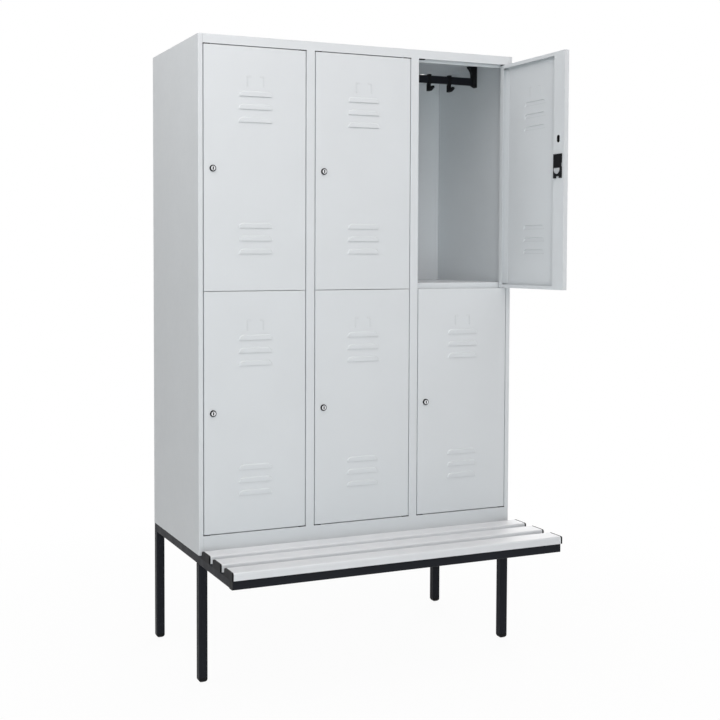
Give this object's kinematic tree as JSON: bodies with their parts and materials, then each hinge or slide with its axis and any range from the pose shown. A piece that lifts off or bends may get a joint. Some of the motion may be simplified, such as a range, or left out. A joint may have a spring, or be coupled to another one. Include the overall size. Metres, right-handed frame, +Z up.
{
  "type": "double-tier locker with bench",
  "caption": "Sheet-steel locker with louvred hinged doors in two tiers, coat rails with sliding hooks, key locks, and a black tube frame with a slatted bench in front.",
  "frame": {"origin": "on the floor, below the middle of the box around the locker with its one door open", "axes": "+Z up, +Y from the front to the back, +X to the right as seen from the front"},
  "size_m": [1.2072, 0.8472, 2.125],
  "materials": {
    "grey_paint": "satin powder coat",
    "black_paint": "satin powder coat",
    "black_plastic": "matt",
    "grey_plastic": "satin",
    "zinc_steel": "zinc plated",
    "chrome": "polished"
  },
  "bodies": {
    "carcass": {"side_panel_left": "grey_paint", "side_panel_right": "grey_paint", "middle_stile_left": "grey_paint", "middle_stile_right": "grey_paint", "partition_left": "grey_paint", "partition_right": "grey_paint", "back_panel": "grey_paint", "roof_panel": "grey_paint", "floor_panel": "grey_paint", "shelf_left": "grey_paint", "shelf_middle": "grey_paint", "shelf_right": "grey_paint", "hinge_pins": "zinc_steel", "hinge_bushes": "black_plastic", "coat_rails": "black_paint", "rail_brackets": "black_plastic", "side_rail_left": "black_paint", "side_rail_right": "black_paint", "front_rail": "black_paint", "cross_rails": "black_paint", "legs": "black_paint", "foot_caps": "black_plastic", "bench_slat_rear": "grey_plastic", "bench_slat_middle": "grey_plastic", "bench_slat_front": "grey_plastic", "bench_end_caps": "black_plastic", "slat_screws": "zinc_steel", "carcass_bolts": "zinc_steel"},
    "door_lower_left": {"door_lower_left": "grey_paint", "lock_casing_lower_left": "black_plastic"},
    "lock_cylinder_lower_left": {"lock_cylinder_lower_left": "chrome"},
    "lock_bolt_lower_left": {"lock_bolt_lower_left": "zinc_steel"},
    "coat_hooks_lower_left": {"coat_hooks_lower_left": "black_plastic"},
    "door_lower_middle": {"door_lower_middle": "grey_paint", "lock_casing_lower_middle": "black_plastic"},
    "lock_cylinder_lower_middle": {"lock_cylinder_lower_middle": "chrome"},
    "lock_bolt_lower_middle": {"lock_bolt_lower_middle": "zinc_steel"},
    "coat_hooks_lower_middle": {"coat_hooks_lower_middle": "black_plastic"},
    "door_lower_right": {"door_lower_right": "grey_paint", "lock_casing_lower_right": "black_plastic"},
    "lock_cylinder_lower_right": {"lock_cylinder_lower_right": "chrome"},
    "lock_bolt_lower_right": {"lock_bolt_lower_right": "zinc_steel"},
    "coat_hooks_lower_right": {"coat_hooks_lower_right": "black_plastic"},
    "door_upper_left": {"door_upper_left": "grey_paint", "lock_casing_upper_left": "black_plastic"},
    "lock_cylinder_upper_left": {"lock_cylinder_upper_left": "chrome"},
    "lock_bolt_upper_left": {"lock_bolt_upper_left": "zinc_steel"},
    "coat_hooks_upper_left": {"coat_hooks_upper_left": "black_plastic"},
    "door_upper_middle": {"door_upper_middle": "grey_paint", "lock_casing_upper_middle": "black_plastic"},
    "lock_cylinder_upper_middle": {"lock_cylinder_upper_middle": "chrome"},
    "lock_bolt_upper_middle": {"lock_bolt_upper_middle": "zinc_steel"},
    "coat_hooks_upper_middle": {"coat_hooks_upper_middle": "black_plastic"},
    "door_upper_right": {"door_upper_right": "grey_paint", "lock_casing_upper_right": "black_plastic"},
    "lock_cylinder_upper_right": {"lock_cylinder_upper_right": "chrome"},
    "lock_bolt_upper_right": {"lock_bolt_upper_right": "zinc_steel"},
    "coat_hook_left": {"coat_hook_left": "black_plastic"},
    "coat_hook_middle": {"coat_hook_middle": "black_plastic"},
    "coat_hook_right": {"coat_hook_right": "black_plastic"}
  },
  "joints": [
    {"name": "door_swing_lower_left", "type": "hinge", "parent": "carcass", "child": "door_lower_left", "pos_m": [-0.22733, -0.06985, 0.89092], "axis": [0, 0, 1], "range_deg": [0, 110]},
    {"name": "lock_turn_lower_left", "type": "hinge", "parent": "door_lower_left", "child": "lock_cylinder_lower_left", "pos_m": [-0.55, -0.06985, 0.89092], "axis": [0, 1, 0], "range_deg": [0, 90]},
    {"name": "bolt_slide_lower_left", "type": "slide", "parent": "door_lower_left", "child": "lock_bolt_lower_left", "axis": [-1, 0, 0], "range_m": [0, 0.022]},
    {"name": "hook_slide_lower_left", "type": "slide", "parent": "carcass", "child": "coat_hooks_lower_left", "axis": [1, 0, 0], "range_m": [-0.08, 0.09]},
    {"name": "door_swing_lower_middle", "type": "hinge", "parent": "carcass", "child": "door_lower_middle", "pos_m": [0.17233, -0.06985, 0.89092], "axis": [0, 0, 1], "range_deg": [0, 110]},
    {"name": "lock_turn_lower_middle", "type": "hinge", "parent": "door_lower_middle", "child": "lock_cylinder_lower_middle", "pos_m": [-0.15033, -0.06985, 0.89092], "axis": [0, 1, 0], "range_deg": [0, 90]},
    {"name": "bolt_slide_lower_middle", "type": "slide", "parent": "door_lower_middle", "child": "lock_bolt_lower_middle", "axis": [-1, 0, 0], "range_m": [0, 0.022]},
    {"name": "hook_slide_lower_middle", "type": "slide", "parent": "carcass", "child": "coat_hooks_lower_middle", "axis": [1, 0, 0], "range_m": [-0.08, 0.09]},
    {"name": "door_swing_lower_right", "type": "hinge", "parent": "carcass", "child": "door_lower_right", "pos_m": [0.572, -0.06985, 0.89092], "axis": [0, 0, 1], "range_deg": [0, 110]},
    {"name": "lock_turn_lower_right", "type": "hinge", "parent": "door_lower_right", "child": "lock_cylinder_lower_right", "pos_m": [0.24933, -0.06985, 0.89092], "axis": [0, 1, 0], "range_deg": [0, 90]},
    {"name": "bolt_slide_lower_right", "type": "slide", "parent": "door_lower_right", "child": "lock_bolt_lower_right", "axis": [-1, 0, 0], "range_m": [0, 0.022]},
    {"name": "hook_slide_lower_right", "type": "slide", "parent": "carcass", "child": "coat_hooks_lower_right", "axis": [1, 0, 0], "range_m": [-0.08, 0.09]},
    {"name": "door_swing_upper_left", "type": "hinge", "parent": "carcass", "child": "door_upper_left", "pos_m": [-0.22733, -0.06985, 1.69257], "axis": [0, 0, 1], "range_deg": [0, 110]},
    {"name": "lock_turn_upper_left", "type": "hinge", "parent": "door_upper_left", "child": "lock_cylinder_upper_left", "pos_m": [-0.55, -0.06985, 1.69257], "axis": [0, 1, 0], "range_deg": [0, 90]},
    {"name": "bolt_slide_upper_left", "type": "slide", "parent": "door_upper_left", "child": "lock_bolt_upper_left", "axis": [-1, 0, 0], "range_m": [0, 0.022]},
    {"name": "hook_slide_upper_left", "type": "slide", "parent": "carcass", "child": "coat_hooks_upper_left", "axis": [1, 0, 0], "range_m": [-0.08, 0.09]},
    {"name": "door_swing_upper_middle", "type": "hinge", "parent": "carcass", "child": "door_upper_middle", "pos_m": [0.17233, -0.06985, 1.69257], "axis": [0, 0, 1], "range_deg": [0, 110]},
    {"name": "lock_turn_upper_middle", "type": "hinge", "parent": "door_upper_middle", "child": "lock_cylinder_upper_middle", "pos_m": [-0.15033, -0.06985, 1.69257], "axis": [0, 1, 0], "range_deg": [0, 90]},
    {"name": "bolt_slide_upper_middle", "type": "slide", "parent": "door_upper_middle", "child": "lock_bolt_upper_middle", "axis": [-1, 0, 0], "range_m": [0, 0.022]},
    {"name": "hook_slide_upper_middle", "type": "slide", "parent": "carcass", "child": "coat_hooks_upper_middle", "axis": [1, 0, 0], "range_m": [-0.08, 0.09]},
    {"name": "door_swing_upper_right", "type": "hinge", "parent": "carcass", "child": "door_upper_right", "pos_m": [0.572, -0.06985, 1.69257], "axis": [0, 0, 1], "range_deg": [-91, 19]},
    {"name": "lock_turn_upper_right", "type": "hinge", "parent": "door_upper_right", "child": "lock_cylinder_upper_right", "pos_m": [0.57763, -0.39247, 1.69257], "axis": [-0.9998, -0.0175, 0], "range_deg": [0, 90]},
    {"name": "bolt_slide_upper_right", "type": "slide", "parent": "door_upper_right", "child": "lock_bolt_upper_right", "axis": [0.0175, -0.9998, 0], "range_m": [0, 0.022]},
    {"name": "hook_slide_left", "type": "slide", "parent": "carcass", "child": "coat_hook_left", "axis": [1, 0, 0], "range_m": [-0.08, 0.074]},
    {"name": "hook_slide_middle", "type": "slide", "parent": "carcass", "child": "coat_hook_middle", "axis": [1, 0, 0], "range_m": [-0.074, 0.074]},
    {"name": "hook_slide_right", "type": "slide", "parent": "carcass", "child": "coat_hook_right", "axis": [1, 0, 0], "range_m": [-0.074, 0.09]}
  ],
  "couplings": [
    {"joint": "bolt_slide_lower_left", "follows": "lock_turn_lower_left", "m_per_rad": 0.014},
    {"joint": "bolt_slide_lower_middle", "follows": "lock_turn_lower_middle", "m_per_rad": 0.014},
    {"joint": "bolt_slide_lower_right", "follows": "lock_turn_lower_right", "m_per_rad": 0.014},
    {"joint": "bolt_slide_upper_left", "follows": "lock_turn_upper_left", "m_per_rad": 0.014},
    {"joint": "bolt_slide_upper_middle", "follows": "lock_turn_upper_middle", "m_per_rad": 0.014},
    {"joint": "bolt_slide_upper_right", "follows": "lock_turn_upper_right", "m_per_rad": 0.014}
  ]
}
